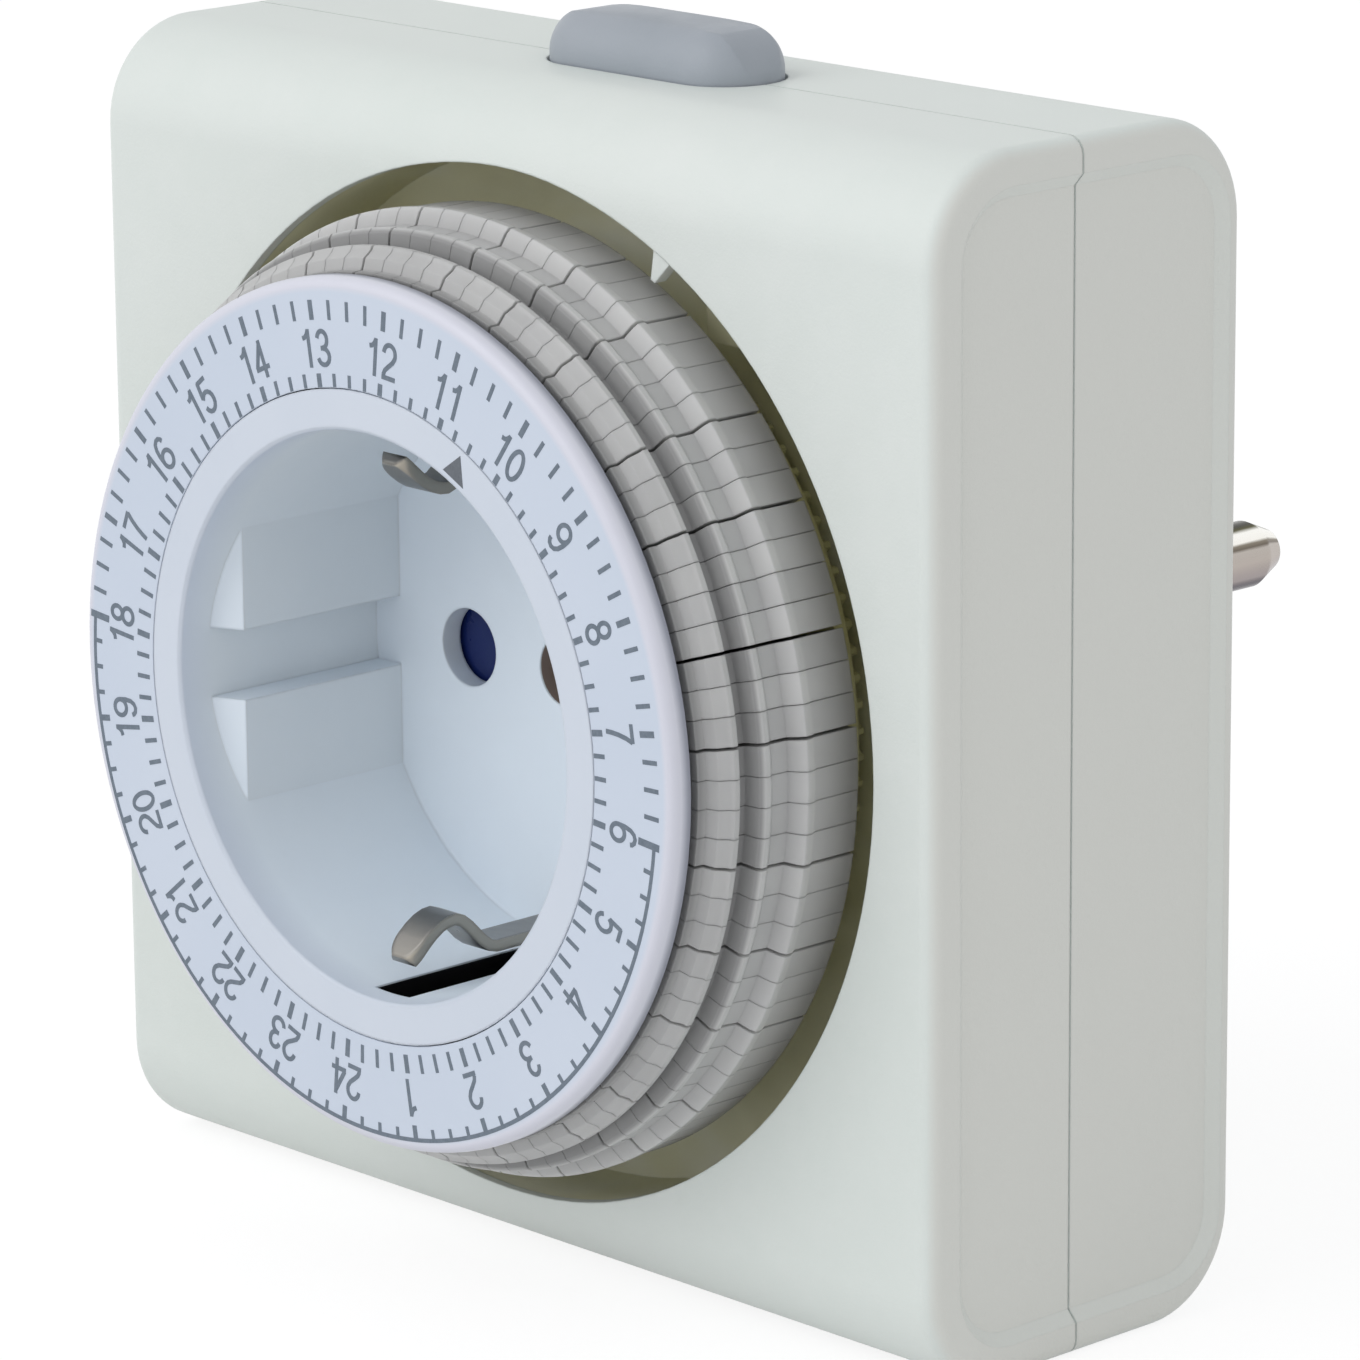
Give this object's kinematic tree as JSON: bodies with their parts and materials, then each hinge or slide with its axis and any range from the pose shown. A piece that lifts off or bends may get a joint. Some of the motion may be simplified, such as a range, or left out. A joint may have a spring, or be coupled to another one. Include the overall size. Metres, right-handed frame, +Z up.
{
  "type": "plug in timer switch",
  "caption": "Square plug-in timer switch with a push-tab drum and clock dial round a socket well, a push button on top and round plug pins at the back.",
  "frame": {"origin": "middle of the plug's flat face, where the two pins come out", "axes": "+Y into the wall socket along the pins, +Z up, +X to the right as the dial is read"},
  "size_m": [0.08, 0.0766, 0.0836],
  "materials": {
    "housing_plastic": "fine matt moulded off-white",
    "chassis_plastic": "dark olive moulded",
    "socket_plastic": "smooth bluish white",
    "dial_plastic": "smooth white, printed numerals and ticks",
    "drum_plastic": "dark moulded",
    "tab_plastic": "translucent grey-beige",
    "button_plastic": "satin grey-blue",
    "shutter_plastic": "navy blue",
    "inner_plastic": "moulded",
    "switch_plastic": "moulded",
    "gear_plastic": "natural moulded",
    "earth_metal": "nickel-plated strip",
    "pin_metal": "nickel-plated",
    "contact_brass": "pressed",
    "screw_metal": "plated",
    "spring_steel": "drawn wire",
    "motor_steel": "pressed can"
  },
  "bodies": {
    "housing": {"front_housing": "housing_plastic", "rear_housing": "housing_plastic", "chassis_plate": "chassis_plastic", "socket_insert": "socket_plastic", "socket_screw": "screw_metal", "shutter_spring": "spring_steel", "terminal_block": "inner_plastic", "line_receptacle": "contact_brass", "neutral_receptacle": "contact_brass", "earth_strap_top": "earth_metal", "earth_strap_bottom": "earth_metal", "earth_bridge": "earth_metal", "line_pin": "pin_metal", "neutral_pin": "pin_metal", "line_busbar": "contact_brass", "neutral_busbar": "contact_brass", "switch_block": "switch_plastic", "plunger_spring": "spring_steel", "fixed_contact": "contact_brass", "button_spring": "spring_steel", "motor_can": "motor_steel", "motor_bracket": "contact_brass", "idler_arbor": "spring_steel", "housing_screws": "screw_metal", "bracket_screws": "screw_metal"},
    "drum": {"time_dial": "dial_plastic", "drum_carrier": "drum_plastic"},
    "shutter": {"pin_shutter": "shutter_plastic"},
    "button": {"override_button": "button_plastic"},
    "plunger": {"switch_plunger": "chassis_plastic"},
    "leaf": {"contact_leaf": "contact_brass"},
    "idler": {"idler_wheel": "gear_plastic"},
    "motor_rotor": {"motor_pinion": "gear_plastic"},
    "tabs_h01": {"tabs_h01": "tab_plastic"},
    "tabs_h02": {"tabs_h02": "tab_plastic"},
    "tabs_h03": {"tabs_h03": "tab_plastic"},
    "tabs_h04": {"tabs_h04": "tab_plastic"},
    "tabs_h05": {"tabs_h05": "tab_plastic"},
    "tabs_h06": {"tabs_h06": "tab_plastic"},
    "tabs_h07": {"tabs_h07": "tab_plastic"},
    "tabs_h08": {"tabs_h08": "tab_plastic"},
    "tabs_h09": {"tabs_h09": "tab_plastic"},
    "tabs_h10": {"tabs_h10": "tab_plastic"},
    "tabs_h11": {"tabs_h11": "tab_plastic"},
    "tabs_h12": {"tabs_h12": "tab_plastic"},
    "tabs_h13": {"tabs_h13": "tab_plastic"},
    "tabs_h14": {"tabs_h14": "tab_plastic"},
    "tabs_h15": {"tabs_h15": "tab_plastic"},
    "tabs_h16": {"tabs_h16": "tab_plastic"},
    "tabs_h17": {"tabs_h17": "tab_plastic"},
    "tabs_h18": {"tabs_h18": "tab_plastic"},
    "tabs_h19": {"tabs_h19": "tab_plastic"},
    "tabs_h20": {"tabs_h20": "tab_plastic"},
    "tabs_h21": {"tabs_h21": "tab_plastic"},
    "tabs_h22": {"tabs_h22": "tab_plastic"},
    "tabs_h23": {"tabs_h23": "tab_plastic"},
    "tabs_h24": {"tabs_h24": "tab_plastic"}
  },
  "joints": [
    {"name": "dial_turn", "type": "hinge", "parent": "housing", "child": "drum", "pos_m": [0, -0.0486, 0], "axis": [0, 1, 0], "continuous": true},
    {"name": "press_tabs_h01", "type": "slide", "parent": "drum", "child": "tabs_h01", "axis": [0, 1, 0], "range_m": [0, 0.0025]},
    {"name": "press_tabs_h02", "type": "slide", "parent": "drum", "child": "tabs_h02", "axis": [0, 1, 0], "range_m": [0, 0.0025]},
    {"name": "press_tabs_h03", "type": "slide", "parent": "drum", "child": "tabs_h03", "axis": [0, 1, 0], "range_m": [0, 0.0025]},
    {"name": "press_tabs_h04", "type": "slide", "parent": "drum", "child": "tabs_h04", "axis": [0, 1, 0], "range_m": [0, 0.0025]},
    {"name": "press_tabs_h05", "type": "slide", "parent": "drum", "child": "tabs_h05", "axis": [0, 1, 0], "range_m": [0, 0.0025]},
    {"name": "press_tabs_h06", "type": "slide", "parent": "drum", "child": "tabs_h06", "axis": [0, 1, 0], "range_m": [0, 0.0025]},
    {"name": "press_tabs_h07", "type": "slide", "parent": "drum", "child": "tabs_h07", "axis": [0, 1, 0], "range_m": [0, 0.0025]},
    {"name": "press_tabs_h08", "type": "slide", "parent": "drum", "child": "tabs_h08", "axis": [0, 1, 0], "range_m": [0, 0.0025]},
    {"name": "press_tabs_h09", "type": "slide", "parent": "drum", "child": "tabs_h09", "axis": [0, 1, 0], "range_m": [0, 0.0025]},
    {"name": "press_tabs_h10", "type": "slide", "parent": "drum", "child": "tabs_h10", "axis": [0, 1, 0], "range_m": [0, 0.0025]},
    {"name": "press_tabs_h11", "type": "slide", "parent": "drum", "child": "tabs_h11", "axis": [0, 1, 0], "range_m": [0, 0.0025]},
    {"name": "press_tabs_h12", "type": "slide", "parent": "drum", "child": "tabs_h12", "axis": [0, 1, 0], "range_m": [0, 0.0025]},
    {"name": "press_tabs_h13", "type": "slide", "parent": "drum", "child": "tabs_h13", "axis": [0, 1, 0], "range_m": [0, 0.0025]},
    {"name": "press_tabs_h14", "type": "slide", "parent": "drum", "child": "tabs_h14", "axis": [0, 1, 0], "range_m": [0, 0.0025]},
    {"name": "press_tabs_h15", "type": "slide", "parent": "drum", "child": "tabs_h15", "axis": [0, 1, 0], "range_m": [0, 0.0025]},
    {"name": "press_tabs_h16", "type": "slide", "parent": "drum", "child": "tabs_h16", "axis": [0, 1, 0], "range_m": [0, 0.0025]},
    {"name": "press_tabs_h17", "type": "slide", "parent": "drum", "child": "tabs_h17", "axis": [0, 1, 0], "range_m": [0, 0.0025]},
    {"name": "press_tabs_h18", "type": "slide", "parent": "drum", "child": "tabs_h18", "axis": [0, 1, 0], "range_m": [0, 0.0025]},
    {"name": "press_tabs_h19", "type": "slide", "parent": "drum", "child": "tabs_h19", "axis": [0, 1, 0], "range_m": [0, 0.0025]},
    {"name": "press_tabs_h20", "type": "slide", "parent": "drum", "child": "tabs_h20", "axis": [0, 1, 0], "range_m": [0, 0.0025]},
    {"name": "press_tabs_h21", "type": "slide", "parent": "drum", "child": "tabs_h21", "axis": [0, 1, 0], "range_m": [0, 0.0025]},
    {"name": "press_tabs_h22", "type": "slide", "parent": "drum", "child": "tabs_h22", "axis": [0, 1, 0], "range_m": [0, 0.0025]},
    {"name": "press_tabs_h23", "type": "slide", "parent": "drum", "child": "tabs_h23", "axis": [0, 1, 0], "range_m": [0, 0.0025]},
    {"name": "press_tabs_h24", "type": "slide", "parent": "drum", "child": "tabs_h24", "axis": [0, 1, 0], "range_m": [0, 0.0025]},
    {"name": "shutter_turn", "type": "hinge", "parent": "housing", "child": "shutter", "pos_m": [0, -0.03725, 0], "axis": [0, 1, 0], "range_deg": [0, 40], "stiffness_Nm_per_rad": 0.001, "springref_deg": -17.19},
    {"name": "button_push", "type": "slide", "parent": "housing", "child": "button", "axis": [0, 0, -1], "range_m": [0, 0.0018], "stiffness_N_per_m": 200, "springref_m": -0.003, "deforming": ["button_spring"]},
    {"name": "plunger_push", "type": "slide", "parent": "housing", "child": "plunger", "axis": [0, 1, 0], "range_m": [0, 0.0008], "stiffness_N_per_m": 100, "springref_m": -0.002},
    {"name": "leaf_bend", "type": "hinge", "parent": "housing", "child": "leaf", "pos_m": [0.01716, -0.02725, 0.02122], "axis": [-1, 0, 0], "range_deg": [0, 9]},
    {"name": "idler_turn", "type": "hinge", "parent": "housing", "child": "idler", "pos_m": [-0.02535, -0.0366, -0.01547], "axis": [0, 1, 0], "continuous": true},
    {"name": "motor_turn", "type": "hinge", "parent": "housing", "child": "motor_rotor", "pos_m": [-0.01709, -0.0346, -0.02037], "axis": [0, 1, 0], "continuous": true}
  ],
  "couplings": [
    {"joint": "idler_turn", "follows": "dial_turn", "ratio": -8},
    {"joint": "motor_turn", "follows": "dial_turn", "ratio": 24},
    {"joint": "leaf_bend", "follows": "plunger_push", "rad_per_m": 192.31}
  ]
}
